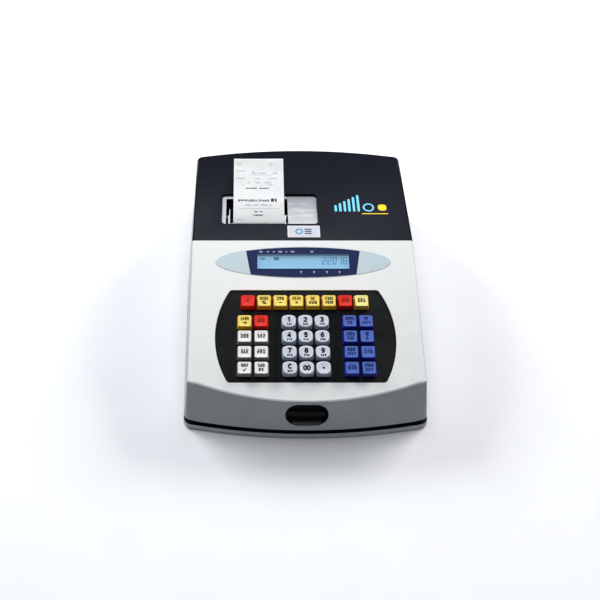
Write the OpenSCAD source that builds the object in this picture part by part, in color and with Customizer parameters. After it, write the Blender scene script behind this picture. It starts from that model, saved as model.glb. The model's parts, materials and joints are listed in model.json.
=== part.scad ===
// Desktop cash register: a wedge-shaped case with a sloping keyboard, an oval
// display and a receipt printer under a hinged rear cover.
// The origin is on the desk under the middle of the machine, the front faces -Y.

/* [Case] */
// Width across the top edges of the case
top_w = 242.4; // [240:0.2:246]
// Length of the sloping deck along its middle
deck_len = 183; // [182:0.5:186]
// Slope of the deck
deck_tilt = 13; // [12:0.5:14]
// Height of the deck's front edge
lip_h = 42; // [41:0.5:46]
// How much the front corners of the deck are drawn back from its middle
deck_sag = 23; // [20:1:24]
// Depth of the flat rear cover
cover_len = 147; // [146:0.5:150]
// How much the rear corners are drawn forward from the middle
rear_sag = 12; // [10:1:13]
// How far the foot of the front stands ahead of the deck's edge
apron = 18.5; // [16:0.5:20]
// How much the foot's front corners are drawn back
foot_sag = 12; // [10:1:14]
// Outward lean of the side walls
side_draft = 6.9; // [6:0.1:8]
// Thickness of the moulded walls
wall = 2.5; // [2.2:0.1:2.8]

/* [Keyboard] */
// Distance between the centres of neighbouring keys
key_pitch = 17.1; // [17:0.1:17.2]
// Width of a key at its foot
key_w = 15.6; // [15:0.1:15.6]
// Depth of a key at its foot
key_d = 14.8; // [14.4:0.1:15]
// How much the sides of a square key lean in on their way up
key_taper = 1.3; // [1:0.1:1.6]
// How much the sides of a digit key lean in on their way up
digit_taper = 0.4; // [0.3:0.1:0.8]
// Height of a key's top above the deck
key_h = 5; // [4.6:0.1:6]
// How far a key travels when it is pressed
key_travel = 2.8; // [2:0.1:2.8]

/* [Display] */
// Length of the oval display bezel
display_l = 189.6; // [180:0.2:192]
// Height of the oval display bezel
display_h = 37.6; // [36:0.2:39]
// Length of the bezel's window
window_l = 99.2; // [90:0.1:100]
// Height of the bezel's window
window_h = 17.2; // [15:0.1:18]

/* [Printer] */
// Width of the receipt paper
paper_w = 57.4; // [56:0.1:58]
// Radius of the paper roll
roll_r = 23; // [15:0.5:23]
// Radius of the platen's rubber
platen_r = 7; // [6.5:0.1:7]
// Size of the gear teeth
gear_module = 0.8; // [0.78:0.01:0.8]

/* [Hidden] */
KEY_NODES = concat(
    [for (i = [1:8]) str("key_top_", i)],
    [for (i = [1:8]) str("key_left_", i)],
    [for (i = [1:9]) str("key_digit_", i)],
    ["key_clear", "key_double_zero", "key_point"],
    [for (i = [1:8]) str("key_right_", i)]
);
$fn = 48;

// Colours
case_grey = [0.44, 0.45, 0.455];
deck_white = [0.93, 0.94, 0.94];
cover_black = [0.08, 0.08, 0.09];
steel = [0.75, 0.76, 0.78];
board_green = [0.10, 0.30, 0.16];
key_yellow = [0.93, 0.77, 0.16];
key_pale = [0.93, 0.86, 0.45];
key_red = [0.72, 0.12, 0.16];
key_cream = [0.86, 0.85, 0.80];
key_slate = [0.28, 0.30, 0.34];
key_blue = [0.30, 0.38, 0.80];

// A sheet this thin marks a level inside a hull
eps = 0.01;
// Room round the machine for the blocks that cut it
big = 400;

// Levels above the desk
foot_gap = 2;
floor_top = foot_gap + 2.5;
strip_top = 5.5;
seam_top = 9.8;
post_top = 15.4;
body_h = lip_h + deck_len * sin(deck_tilt);
part_z = body_h - 10;
skirt_gap = 0.2;

// Hinge of the rear cover, on the case's rear edge
lug_r = 3.2;
barrel_r = 2.6;
barrel_half = 25;
lug_len = 7;
hinge_pin_r = 1.5;
hinge_bore_r = 1.58;

// Places from front to back
half_len = (apron + deck_len * cos(deck_tilt) + cover_len + lug_r) / 2;
front_y = -half_len;
lip_y = front_y + apron;
crease_y = lip_y + deck_len * cos(deck_tilt);
rear_y = crease_y + cover_len;

// Half widths of the foot, where the leaning walls reach it
end_h = lip_h + deck_sag * sin(deck_tilt);
foot_rear_w = top_w / 2 + (body_h - foot_gap) * tan(side_draft);
foot_front_w = top_w / 2 + (end_h - foot_gap) * tan(side_draft);
front_r = 8.6;
rear_r = 7;

// Deck plate and the parts let into it
deck_t = 3;
row_v = -97.9;
panel_top_v = -60;
panel_bot_v = -163;
panel_top_half = 78.7;
panel_bot_half = 80.4;
panel_bulge = 14.4;
panel_corner = 4.5;
panel_gap = 0.2;
panel_sink = 0.8;
panel_flange = 3;
panel_under = 5;
display_v = -26.7;
window_v = display_v + 0.8;
pocket_t = 1.3;
lcd_hole = [104, 24];
lcd_body = [112, 28, 5];

// Keys: blocks of columns, rows of keys, and the levels under them
left_u = -54.6;
right_u = 54.6;
top_u = 0;
top_v = 23;
key_skirt = 2.2;
key_wall = 1.2;
key_roof = 1.6;
key_lean = 0.4;
key_room = 0.3;
stem_r = 2.5;
stem_gap = 0.3;
pcb_top = -10;
stem_foot = pcb_top + stem_gap + key_travel;
switch_top = -key_skirt - key_travel - 0.6;
pcb_t = 1.6;
post_r = 2.5;
post_u = 31.4;

// Finger recess in the front
apron_slope = atan2(lip_h - foot_gap, apron);
pull_down = 16.7;
pull_l = 41.2;
pull_h = 23;
pull_wall = 1.2;
pull_gap = 0.2;
pull_depth = 12;
shelf_depth = 6;
shelf_h = 7;

// Screws and the posts that they join
screw_places = [[-106, lip_y + 34], [106, lip_y + 34], [-113, rear_y - 26], [113, rear_y - 26]];
boss_tops = [42, 42, 56, 56];
boss_r = 4.5;
screw_r = 1.68;
head_r = 3.6;
head_z = 6.5;
frame_posts = [[-82, 52], [16, 52], [-82, 140], [16, 140]];
board_posts = [[36, 70], [94, 70], [36, 148], [94, 148]];
board_z = 14;
board_top = board_z + 1.6;

// Rear connectors
jack_x = 60;
jack_w = 10;
jack_h = 11;
jack_y = rear_y - 3.8;
jack_r = 2.85;
jack_z = board_top + jack_h / 2;
rocker_x = 85;
rocker_z = board_top + 6.4;
rocker_w = 12;
rocker_r = 5.3;
rocker_y = rear_y - 10.4;
rocker_rest = 9;
switch_w = 18;
switch_h = 12.8;
switch_y = rear_y - 7.4;
rocker_pin_r = 1;
rocker_bore_r = 1.08;

// Printer: window of the cover, chassis, platen, gears and paper
win_x0 = -89.4;
win_x1 = 18.5;
win_y0 = crease_y + 25.3;
win_y1 = crease_y + 72;
win_r = 4;
frame_z = 22;
sheet = 2;
frame_x0 = -89.5;
frame_x1 = 22;
inner_x = -14;
frame_y0 = 44;
frame_y1 = 147;
mech_y1 = 101;
frame_top = 78.8;
flange_w = 4.6;
flange_t = 1.5;
bar_w = 6;
guide_x = -19.3;
guide_w = 2.2;
guide_l = 14;
slot_y = win_y0 + 1.05;
platen_y = slot_y + 7.15;
platen_z = 66;
shaft_r = 2;
shaft_bore_r = 2.08;
gear_teeth = 24;
pinion_teeth = 12;
gear_x = -11;
gear_w = 5;
gear_gap = 0.05;
mesh_angle = -35;
mesh_dist = gear_module * (gear_teeth + pinion_teeth) / 2 + gear_gap;
motor_y = platen_y + mesh_dist * cos(mesh_angle);
motor_z = platen_z + mesh_dist * sin(mesh_angle);
motor_r = 9;
motor_x = -3.5;
motor_shaft_r = 1;
motor_bore_r = 1.05;
roll_x = -47.7;
roll_y = 122;
rail_top = frame_z + sheet + 8;
rail_half = 12.5;
roll_z = rail_top + sqrt(roll_r * roll_r - rail_half * rail_half) + 0.2;
core_r = 6;
lever_x = -82.3;
lever_w = 2.1;
lever_y = 72;
lever_z = 68;
lever_top = 79.5;
lever_step = win_y0 + 16.3;
lever_pin_r = 1.5;
lever_bore_r = 1.58;

// Free end of the receipt: it stands up behind the tear bar, then lies back
receipt_t = 0.3;
receipt_z0 = 75;
bend_r = 5;
bend_z = 82;
lean_0 = 6;
lean_1 = 12.6;
curl_r = 724;

// ---- helpers ----

// Rise of a circular arc at x, for a chord of half width w and depth sag
function arc_r(w, sag) = (w * w + sag * sag) / (2 * sag);
function rise(x, w, sag) = arc_r(w, sag) - sqrt(pow(arc_r(w, sag), 2) - x * x);

// Points from x = -w to w along a bowed edge that is lowest in the middle
function bowed(w, span, sag, y0, n = 24) =
    [for (i = [0:n]) let (x = -w + 2 * w * i / n) [x, y0 + rise(x, span, sag)]];
function corner(cx, cy, r, a0, n = 8) =
    [for (i = [0:n]) let (a = a0 + 90 * i / n) [cx + r * cos(a), cy + r * sin(a)]];
function flip_y(points, y0) = [for (p = points) [-p[0], 2 * y0 - p[1]]];

// Rear edge and its two rounded corners, from right to left
function rear_edge(w, e) =
    let (y = rear_y - e - rise(w - rear_r, w, rear_sag) - rear_r)
    concat(
        corner(w - rear_r, y, rear_r, 0),
        flip_y(bowed(w - rear_r, w, rear_sag, rear_y - e), rear_y - e),
        corner(-w + rear_r, y, rear_r, 90)
    );

// Outline of the case at the foot, set in by e
module foot_plan(e) {
    wf = foot_front_w - e;
    wr = foot_rear_w - e;
    y = front_y + e + rise(wf - front_r, wf, foot_sag) + front_r;
    polygon(concat(
        bowed(wf - front_r, wf, foot_sag, front_y + e),
        corner(wf - front_r, y, front_r, -90),
        [[wr, crease_y]],
        rear_edge(wr, e),
        [[-wr, crease_y]],
        corner(-wf + front_r, y, front_r, 180)
    ));
}

// Places children on the deck: x along the crease, y up the slope, z outwards
module on_deck() {
    translate([0, crease_y, body_h]) rotate([deck_tilt, 0, 0]) children();
}

// Places children on the front, with z straight out of it
module on_apron() {
    translate([0, lip_y, lip_h]) rotate([apron_slope, 0, 0]) translate([0, -pull_down, 0])
        children();
}

// The whole wedge of the case, set in by e on every side but the foot
module body_hull(e) {
    w = top_w / 2 - e;
    hull() {
        translate([0, 0, foot_gap]) linear_extrude(eps) foot_plan(e);
        on_deck() translate([0, 0, -e - eps]) linear_extrude(eps)
            polygon(concat(bowed(w, top_w / 2, deck_sag, -deck_len + e), [[w, 0], [-w, 0]]));
        translate([0, 0, body_h - e - eps]) linear_extrude(eps)
            polygon(concat([[-w, crease_y], [w, crease_y]], rear_edge(w, e)));
    }
}

// A block right across the machine between two levels
module layer(z0, z1) {
    translate([-big / 2, -big / 2, z0]) cube([big, big, z1 - z0]);
}

// A block across the machine that covers the deck between two depths
module deck_layer(n0, n1) {
    on_deck() translate([-big / 2, -big, n0]) cube([big, big, n1 - n0]);
}

module rounded_rect(w, h, r) {
    for (s = [-1, 1], t = [-1, 1]) {
        translate([s * (w / 2 - r), t * (h / 2 - r)]) circle(r);
    }
    square([w - 2 * r, h], center = true);
    square([w, h - 2 * r], center = true);
}

module stadium(l, h) {
    for (s = [-1, 1]) {
        translate([s * (l - h) / 2, 0]) circle(d = h);
    }
    square([l - h, h], center = true);
}

module ellipse(l, h, n = 96) {
    polygon([for (i = [0:n - 1]) [l / 2 * cos(360 * i / n), h / 2 * sin(360 * i / n)]]);
}

// A rod along X from x0 to x1
module x_rod(r, x0, x1, y, z) {
    translate([x0, y, z]) rotate([0, 90, 0]) cylinder(r = r, h = x1 - x0);
}

// A plate that stands across X, drawn as a YZ outline
module x_plate(x0, x1) {
    translate([x0, 0, 0]) rotate([90, 0, 90]) linear_extrude(x1 - x0) children();
}

// ---- keyboard layout ----

function in_rows(cols, u0, i) =
    [u0 + (i % cols - (cols - 1) / 2) * key_pitch, -floor(i / cols) * key_pitch];
KEY_PLACES = concat(
    [for (i = [0:7]) [top_u + (i - 3.5) * key_pitch, top_v]],
    [for (i = [0:7]) in_rows(2, left_u, i)],
    [for (i = [0:11]) in_rows(3, 0, i)],
    [for (i = [0:7]) in_rows(2, right_u, i)]
);
function is_digit(i) = i >= 16 && i < 28;
KEY_COLOURS = concat(
    [key_red], [for (i = [1:5]) key_yellow], [key_red, key_pale],
    [key_yellow, key_red], [for (i = [1:6]) key_cream],
    [for (i = [1:12]) key_slate],
    [for (i = [1:8]) key_blue]
);

module at_key(i) {
    on_deck() translate([KEY_PLACES[i][0], row_v + KEY_PLACES[i][1], 0]) children();
}

// Half width of the black panel at v, bowed outwards between its two ends
function panel_half(v) =
    let (mid = (panel_top_v + panel_bot_v) / 2, half = (panel_top_v - panel_bot_v) / 2)
    let (k = (v - mid) / half)
    (panel_top_half + panel_bot_half) / 2 + k * (panel_top_half - panel_bot_half) / 2
    + panel_bulge - rise(v - mid, half, panel_bulge);

// Angle by which the panel's side leans inwards at the end v, towards s
function panel_lean(v, s) = atan((panel_half(v - s * panel_corner) - panel_half(v)) / panel_corner);

// Arc that rounds the panel's right corner at its end v, from the side towards s
function corner_arc(v, s, grow, steps = 6) =
    let (r = panel_corner + grow, a = panel_lean(v, s))
    let (cx = panel_half(v) + grow - r * (1 - sin(a)) / cos(a), cy = v + s * (grow - r))
    [for (i = [0:steps]) let (t = a + (90 - a) * i / steps) [cx + r * cos(t), cy + s * r * sin(t)]];

module panel_plan(grow, n = 20) {
    low = corner_arc(panel_bot_v, -1, grow);
    high = corner_arc(panel_top_v, 1, grow);
    v0 = low[0][1];
    v1 = high[0][1];
    side = [for (i = [1:n - 1]) let (v = v0 + (v1 - v0) * i / n) [panel_half(v) + grow, v]];
    right = concat([for (i = [len(low) - 1:-1:0]) low[i]], side, high);
    left = [for (i = [len(right) - 1:-1:0]) [-right[i][0], right[i][1]]];
    polygon(concat(right, left));
}

// ---- case ----

// Room for the finger recess, larger than its box by gap
module pull_room(gap) {
    grow = 2 * (pull_wall + gap);
    on_apron() translate([0, 0, -30]) linear_extrude(60) stadium(pull_l + grow, pull_h + grow);
}

module base_tray() {
    color(case_grey) difference() {
        union() {
            intersection() {
                body_hull(0);
                layer(foot_gap, floor_top);
            }
            // outer strip below the seam
            intersection() {
                difference() {
                    body_hull(0);
                    body_hull(wall);
                }
                layer(floor_top - 0.1, strip_top);
            }
            // lip that locates the shell
            intersection() {
                difference() {
                    body_hull(wall + 0.4);
                    body_hull(wall + 2.2);
                }
                layer(floor_top - 0.1, post_top);
            }
            for (p = screw_places) {
                translate([p[0], p[1], floor_top - 0.1])
                    cylinder(r = boss_r + 1, h = post_top - floor_top + 0.1);
            }
            for (p = frame_posts) {
                translate([p[0], p[1], floor_top - 0.1])
                    cylinder(r = 4, h = frame_z - floor_top + 0.1);
            }
            for (p = board_posts) {
                translate([p[0], p[1], floor_top - 0.1])
                    cylinder(r = 3, h = board_z - floor_top + 0.1);
            }
        }
        for (p = screw_places) {
            translate([p[0], p[1], 0]) {
                cylinder(r = screw_r + 0.3, h = post_top + 1);
                cylinder(r = head_r + 0.4, h = head_z);
            }
        }
        pull_room(2 * pull_gap);
    }
}

module rubber_feet() {
    color([0.1, 0.1, 0.1]) {
        for (s = [-1, 1], y = [front_y + 32, rear_y - 24]) {
            translate([s * 95, y, 0]) cylinder(r = 8, h = foot_gap);
        }
    }
}

// Bosses of the shell and the ribs that carry them to the side walls
module shell_bosses() {
    for (i = [0:3]) {
        x = screw_places[i][0];
        y = screw_places[i][1];
        h = boss_tops[i] - post_top;
        translate([x, y, post_top]) cylinder(r = boss_r, h = h);
        translate([x > 0 ? x : x - 20, y - 1.25, post_top + 2]) cube([20, 2.5, h - 2]);
    }
}

module body_shell() {
    color(case_grey) difference() {
        union() {
            difference() {
                union() {
                    difference() {
                        body_hull(0);
                        body_hull(wall);
                    }
                    intersection() {
                        body_hull(wall / 2);
                        union() {
                            shell_bosses();
                            // bulkhead between the keyboard and the printer
                            translate([-big / 2, crease_y - wall, 34])
                                cube([big, wall, 60]);
                        }
                    }
                }
                layer(-1, seam_top);
                deck_layer(-deck_t, 60);
                translate([-big / 2, crease_y, part_z]) cube([big, big / 2, 60]);
            }
            for (s = [-1, 1]) {
                x_rod(lug_r, s > 0 ? barrel_half + 0.4 : -barrel_half - 0.4 - lug_len,
                    s > 0 ? barrel_half + 0.4 + lug_len : -barrel_half - 0.4,
                    rear_y, part_z);
            }
        }
        // room for the cover's hinge barrel, and the bores of its pins
        x_rod(barrel_r + 0.5, -barrel_half - 0.4, barrel_half + 0.4, rear_y, part_z);
        x_rod(hinge_bore_r, -barrel_half - lug_len + 0.2, barrel_half + lug_len - 0.2,
            rear_y, part_z);
        for (p = screw_places) {
            translate([p[0], p[1], post_top - 1]) cylinder(r = screw_r + 0.02, h = 22);
        }
        // rear connectors
        translate([jack_x - jack_w / 2 - 0.2, rear_y - 16, board_top - 0.2])
            cube([jack_w + 0.4, 30, jack_h + 0.4]);
        translate([rocker_x - switch_w / 2 - 0.2, rear_y - 16, board_top - 0.2])
            cube([switch_w + 0.4, 30, switch_h + 0.4]);
        pull_room(pull_gap);
    }
}

module top_deck() {
    color(deck_white) difference() {
        intersection() {
            body_hull(0);
            deck_layer(-deck_t, 5);
            translate([-big / 2, crease_y - big, 0]) cube([big, big, big]);
        }
        on_deck() {
            translate([0, 0, -10]) linear_extrude(20) panel_plan(0);
            translate([0, display_v, -pocket_t]) linear_extrude(10)
                ellipse(display_l, display_h);
            translate([0, window_v, 0]) cube([lcd_hole[0], lcd_hole[1], 20], center = true);
        }
    }
}

module front_pull() {
    color(cover_black) intersection() {
        body_hull(0.05);
        on_apron() {
            difference() {
                translate([0, 0, -pull_depth - pull_wall]) linear_extrude(40)
                    stadium(pull_l + 2 * pull_wall, pull_h + 2 * pull_wall);
                translate([0, 0, -pull_depth]) linear_extrude(60) stadium(pull_l, pull_h);
            }
            // shelf across the lower part of the recess
            intersection() {
                translate([0, 0, -pull_depth - 0.5])
                    linear_extrude(pull_depth - shelf_depth + 0.5)
                    stadium(pull_l + pull_wall, pull_h + pull_wall);
                translate([-pull_l, -pull_h, -pull_depth - 1])
                    cube([2 * pull_l, pull_h / 2 + shelf_h, 40]);
            }
        }
    }
}

module case_screws() {
    color(steel) for (p = screw_places) {
        translate([p[0], p[1], 0]) difference() {
            union() {
                translate([0, 0, head_z - 2.4]) cylinder(r = head_r, h = 2.4);
                translate([0, 0, head_z - 0.1]) cylinder(r = screw_r, h = 28);
            }
            for (a = [0, 90]) {
                rotate([0, 0, a]) translate([-2.2, -0.5, 0]) cube([4.4, 1, head_z - 1]);
            }
        }
    }
}

// ---- keyboard ----

module key_panel() {
    color(cover_black) on_deck() difference() {
        union() {
            translate([0, 0, -deck_t - 0.1]) linear_extrude(deck_t - panel_sink + 0.1)
                panel_plan(-panel_gap);
            translate([0, 0, -panel_under]) linear_extrude(panel_under - deck_t)
                panel_plan(panel_flange);
            for (s = [-1, 1], v = [4, -26, -56]) {
                translate([s * post_u, row_v + v, pcb_top])
                    cylinder(r = post_r, h = -pcb_top - panel_under + 0.1);
            }
        }
        for (p = KEY_PLACES) {
            translate([p[0], row_v + p[1], 0])
                cube([key_w + 2 * key_room, key_d + 2 * key_room, 20], center = true);
        }
    }
}

module key_switches() {
    color([0.15, 0.15, 0.16]) for (i = [0:len(KEY_PLACES) - 1]) {
        at_key(i) difference() {
            translate([-6.25, -6.25, pcb_top]) cube([12.5, 12.5, switch_top - pcb_top]);
            translate([0, 0, pcb_top + 0.1]) cylinder(r = stem_r + stem_gap, h = 10);
        }
    }
}

module keyboard_pcb() {
    color(board_green) on_deck() translate([-86, row_v - 61, pcb_top - pcb_t])
        cube([172, 96, pcb_t]);
}

// A block on the deck from the level n0, w wide and d deep there, up to the level
// n1, where its sides have leaned in by taper and its top has moved back a little
module leaning_block(w, d, n0, n1, taper) {
    hull() {
        translate([-w / 2, -d / 2, n0]) cube([w, d, eps]);
        translate([-w / 2 + taper, -d / 2 + taper + key_lean, n1 - eps])
            cube([w - 2 * taper, d - 2 * taper, eps]);
    }
}

module key(i) {
    taper = is_digit(i) ? digit_taper : key_taper;
    roof = key_h - key_roof;
    inner_w = key_w - 2 * key_wall;
    inner_d = key_d - 2 * key_wall;
    color(KEY_COLOURS[i]) at_key(i) {
        difference() {
            union() {
                translate([-key_w / 2, -key_d / 2, -key_skirt])
                    cube([key_w, key_d, key_skirt + 0.6]);
                leaning_block(key_w, key_d, 0.5, key_h, taper);
            }
            translate([-inner_w / 2, -inner_d / 2, -key_skirt - 1])
                cube([inner_w, inner_d, key_skirt + 1.5]);
            leaning_block(inner_w, inner_d, 0.4, roof, taper);
        }
        translate([0, 0, stem_foot]) cylinder(r = stem_r, h = roof + 0.5 - stem_foot);
    }
}

// ---- display ----

module display_window() {
    color([0.80, 0.87, 0.89]) on_deck() difference() {
        translate([0, display_v, -pocket_t]) linear_extrude(pocket_t + 0.2)
            ellipse(display_l - 0.3, display_h - 0.3);
        translate([0, window_v, 0]) cube([window_l, window_h, 10], center = true);
    }
}

module lcd_module() {
    color([0.53, 0.76, 0.90]) on_deck() translate([0, window_v, -deck_t]) {
        translate([-lcd_body[0] / 2, -lcd_body[1] / 2, -lcd_body[2]]) cube(lcd_body);
        translate([-51, -10.5, -0.1]) cube([102, 21, deck_t - pocket_t]);
    }
}

// ---- electronics ----

module main_board() {
    color(board_green) {
        translate([30, 64, board_z]) cube([70, rear_y - 80, board_top - board_z]);
        translate([44, 84, board_top]) cube([16, 16, 2]);
        translate([70, 80, board_top]) cube([12, 20, 2]);
        translate([40, 112, board_top]) cube([24, 6, 8]);
        translate([80, 116, board_top]) cylinder(r = 6, h = 14);
        // power inlet with its bore
        difference() {
            translate([jack_x - jack_w / 2, jack_y - 14, board_top]) cube([jack_w, 14, jack_h]);
            translate([jack_x, jack_y - 9.5, jack_z]) rotate([-90, 0, 0])
                cylinder(r = jack_r, h = 12);
        }
        // housing of the power switch
        difference() {
            translate([rocker_x - switch_w / 2, switch_y - 14, board_top])
                cube([switch_w, 14, switch_h]);
            x_rod(rocker_r + 0.3, rocker_x - rocker_w / 2 - 0.3,
                rocker_x + rocker_w / 2 + 0.3, rocker_y, rocker_z);
            x_rod(rocker_bore_r, rocker_x - rocker_w / 2 - 1.8,
                rocker_x + rocker_w / 2 + 1.8, rocker_y, rocker_z);
        }
    }
}

module power_switch() {
    color(cover_black) {
        translate([0, rocker_y, rocker_z]) rotate([-rocker_rest, 0, 0]) x_plate(
            rocker_x - rocker_w / 2, rocker_x + rocker_w / 2) intersection() {
            circle(rocker_r);
            polygon([[-6, -6], [4.4, -6], [4.4, -5], [3.2, 0], [4.4, 5], [4.4, 6], [-6, 6]]);
        }
        x_rod(rocker_pin_r, rocker_x - rocker_w / 2 - 1.6, rocker_x + rocker_w / 2 + 1.6,
            rocker_y, rocker_z);
    }
}

// ---- printer ----

module printer_frame() {
    color(steel) difference() {
        union() {
            translate([frame_x0, frame_y0, frame_z])
                cube([frame_x1 - frame_x0, frame_y1 - frame_y0, sheet]);
            // side walls beside the mechanism
            for (x = [frame_x0, inner_x, frame_x1 - sheet]) {
                translate([x, frame_y0 + 2, frame_z])
                    cube([sheet, mech_y1 - frame_y0 - 2, frame_top - frame_z]);
            }
            translate([frame_x0, frame_y0 + 2, frame_top - 0.1])
                cube([flange_w, mech_y1 - frame_y0 - 2, flange_t + 0.1]);
            // cross bar at the rear of the window, stepped down under the drive cover
            translate([frame_x0, win_y1 - bar_w + 1, frame_top - 0.1])
                cube([inner_x - 1.3 - frame_x0, bar_w, flange_t + 0.1]);
            translate([inner_x - 4, win_y1 - bar_w + 1, frame_top - flange_t])
                cube([sheet + 4, bar_w, flange_t]);
            // low walls and rails of the paper cradle
            for (x = [frame_x0, inner_x]) {
                translate([x, mech_y1 - 1, frame_z]) cube([sheet, frame_y1 - mech_y1 + 1, 34]);
            }
            for (s = [-1, 1]) {
                translate([frame_x0 + 1, roll_y + s * (rail_half + 1.5) - 1.5, frame_z])
                    cube([inner_x - frame_x0, 3, rail_top - frame_z]);
            }
        }
        x_rod(shaft_bore_r, frame_x0 - 1, inner_x + sheet + 1, platen_y, platen_z);
        x_rod(lever_bore_r, frame_x0 - 1, frame_x0 + sheet + 1, lever_y, lever_z);
    }
}

module print_head() {
    color([0.62, 0.62, 0.60]) {
        translate([-84, slot_y - 4.3, frame_z + sheet]) cube([67, 3.1, 48]);
        translate([-77, slot_y - 1.3, platen_z - 5]) cube([59, 0.8, 10]);
    }
}

module drive_cover() {
    color(steel) {
        // guide finger beside the paper
        translate([guide_x, win_y0 + 2.3, frame_top]) cube([guide_w, guide_l, flange_t]);
        translate([guide_x, win_y0 + 1.1 + guide_l, frame_top])
            cube([inner_x - guide_x, 1.2, flange_t]);
        translate([inner_x - 1, win_y0 - 2.7, frame_top]) cube([36.8, 54, flange_t]);
        translate([gear_x + gear_w + 0.5, win_y0 - 2.7, frame_top - 12])
            cube([25, 1, 12.1]);
    }
}

module tear_bar() {
    teeth = 32;
    pitch = 2;
    x0 = -80;
    z0 = receipt_z0 + 1;
    color(steel) translate([0, win_y0 + 0.6, 0]) rotate([90, 0, 0]) linear_extrude(0.6)
        polygon(concat(
            [[x0 + teeth * pitch, z0], [x0, z0]],
            [for (i = [0:teeth * 2]) [x0 + i * pitch / 2, body_h + (i % 2 == 0 ? -0.4 : 0.8)]]
        ));
}

// A spur gear in the XY plane; the phase turns a tooth away from the X axis
module gear(teeth, phase) {
    pitch_r = gear_module * teeth / 2;
    tip_r = pitch_r + 0.8 * gear_module;
    root_r = pitch_r - 1.15 * gear_module;
    step = 360 / teeth;
    polygon([for (i = [0:teeth - 1], k = [-3, -1.05, 1.05, 3])
        let (a = phase + step * (i + k / 10 * 0.78), r = abs(k) < 2 ? tip_r : root_r)
        [r * cos(a), r * sin(a)]]);
}

module platen_roller() {
    color([0.12, 0.12, 0.12]) {
        x_rod(shaft_r, frame_x0 - 1.5, gear_x + gear_w + 0.5, platen_y, platen_z);
        difference() {
            x_rod(platen_r, roll_x - 30.3, roll_x + 30.3, platen_y, platen_z);
            x_rod(shaft_r, roll_x - 40, roll_x + 40, platen_y, platen_z);
        }
        translate([0, platen_y, platen_z]) x_plate(gear_x, gear_x + gear_w) difference() {
            gear(gear_teeth, mesh_angle + 180 / gear_teeth);
            circle(shaft_r);
        }
    }
}

module motor_pinion() {
    color([0.85, 0.82, 0.7]) {
        translate([0, motor_y, motor_z]) x_plate(gear_x, gear_x + gear_w)
            gear(pinion_teeth, mesh_angle + 180);
        x_rod(motor_shaft_r, gear_x + gear_w - 0.1, motor_x + 6, motor_y, motor_z);
    }
}

module paper_motor() {
    color(steel) difference() {
        x_rod(motor_r, motor_x, frame_x1 - sheet, motor_y, motor_z);
        x_rod(motor_bore_r, motor_x - 1, motor_x + 7, motor_y, motor_z);
    }
}

module paper_roll() {
    color([0.96, 0.96, 0.95]) difference() {
        x_rod(roll_r, roll_x - paper_w / 2, roll_x + paper_w / 2, roll_y, roll_z);
        x_rod(core_r, roll_x - paper_w, roll_x + paper_w, roll_y, roll_z);
    }
}

module release_lever() {
    color(steel) {
        x_plate(lever_x, lever_x + lever_w) {
            translate([lever_y, lever_z]) circle(4);
            polygon([[lever_y - 3, lever_z], [lever_y + 3, lever_z],
                [lever_y + 3, lever_z + 4], [lever_step, lever_top],
                [win_y0 + 2.3, lever_top], [win_y0 + 2.3, lever_top - 3],
                [lever_step - 3, lever_top - 3], [lever_y - 3, lever_z + 3.5]]);
        }
        // narrower tail of the arm
        x_plate(lever_x + lever_w / 2, lever_x + lever_w)
            translate([lever_step - 2, lever_top - 3])
                square([lever_y + 5 - lever_step, 3]);
        x_rod(lever_pin_r, frame_x0 - 0.8, lever_x + 0.1, lever_y, lever_z);
    }
}

// Middle line of the free receipt, moved outwards by off
function receipt_line(off) =
    let (yb = slot_y + bend_r, a0 = 90 + lean_0)
    let (y1 = yb + bend_r * cos(a0), z1 = bend_z + bend_r * sin(a0))
    concat(
        [[slot_y - off, receipt_z0]],
        [for (i = [0:8]) let (a = 180 - (180 - a0) * i / 8)
            [yb + (bend_r + off) * cos(a), bend_z + (bend_r + off) * sin(a)]],
        [for (i = [1:12]) let (a = lean_0 + (lean_1 - lean_0) * i / 12)
            [y1 + curl_r * (sin(a) - sin(lean_0)) - off * sin(a),
                z1 - curl_r * (cos(a) - cos(lean_0)) + off * cos(a)]]
    );

module receipt() {
    back = receipt_line(-receipt_t / 2);
    color([0.97, 0.97, 0.97]) x_plate(roll_x - paper_w / 2, roll_x + paper_w / 2)
        polygon(concat(receipt_line(receipt_t / 2),
            [for (i = [len(back) - 1:-1:0]) back[i]]));
}

module rear_cover() {
    color(cover_black) {
        difference() {
            intersection() {
                difference() {
                    body_hull(0);
                    difference() {
                        body_hull(wall);
                        // stiffening bead along the front edge
                        translate([-big / 2, crease_y, part_z + 4]) cube([big, wall, 20]);
                    }
                }
                translate([-big / 2, crease_y + 0.4, part_z + skirt_gap]) cube([big, big, 60]);
            }
            translate([(win_x0 + win_x1) / 2, (win_y0 + win_y1) / 2, part_z])
                linear_extrude(40)
                rounded_rect(win_x1 - win_x0, win_y1 - win_y0, win_r);
            for (s = [-1, 1]) {
                x_rod(lug_r + 0.4, s > 0 ? barrel_half : -barrel_half - lug_len - 0.8,
                    s > 0 ? barrel_half + lug_len + 0.8 : -barrel_half, rear_y, part_z);
            }
        }
        x_rod(barrel_r, -barrel_half, barrel_half, rear_y, part_z);
        x_rod(hinge_pin_r, -barrel_half - lug_len + 0.6, barrel_half + lug_len - 0.6,
            rear_y, part_z);
    }
}

// ---- assembly ----

base_tray();
rubber_feet();
body_shell();
top_deck();
key_panel();
key_switches();
keyboard_pcb();
main_board();
display_window();
lcd_module();
front_pull();
case_screws();
power_switch();
printer_frame();
print_head();
drive_cover();
tear_bar();
platen_roller();
motor_pinion();
paper_motor();
paper_roll();
release_lever();
receipt();
rear_cover();
for (i = [0:len(KEY_NODES) - 1]) {
    key(i);
}
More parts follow.
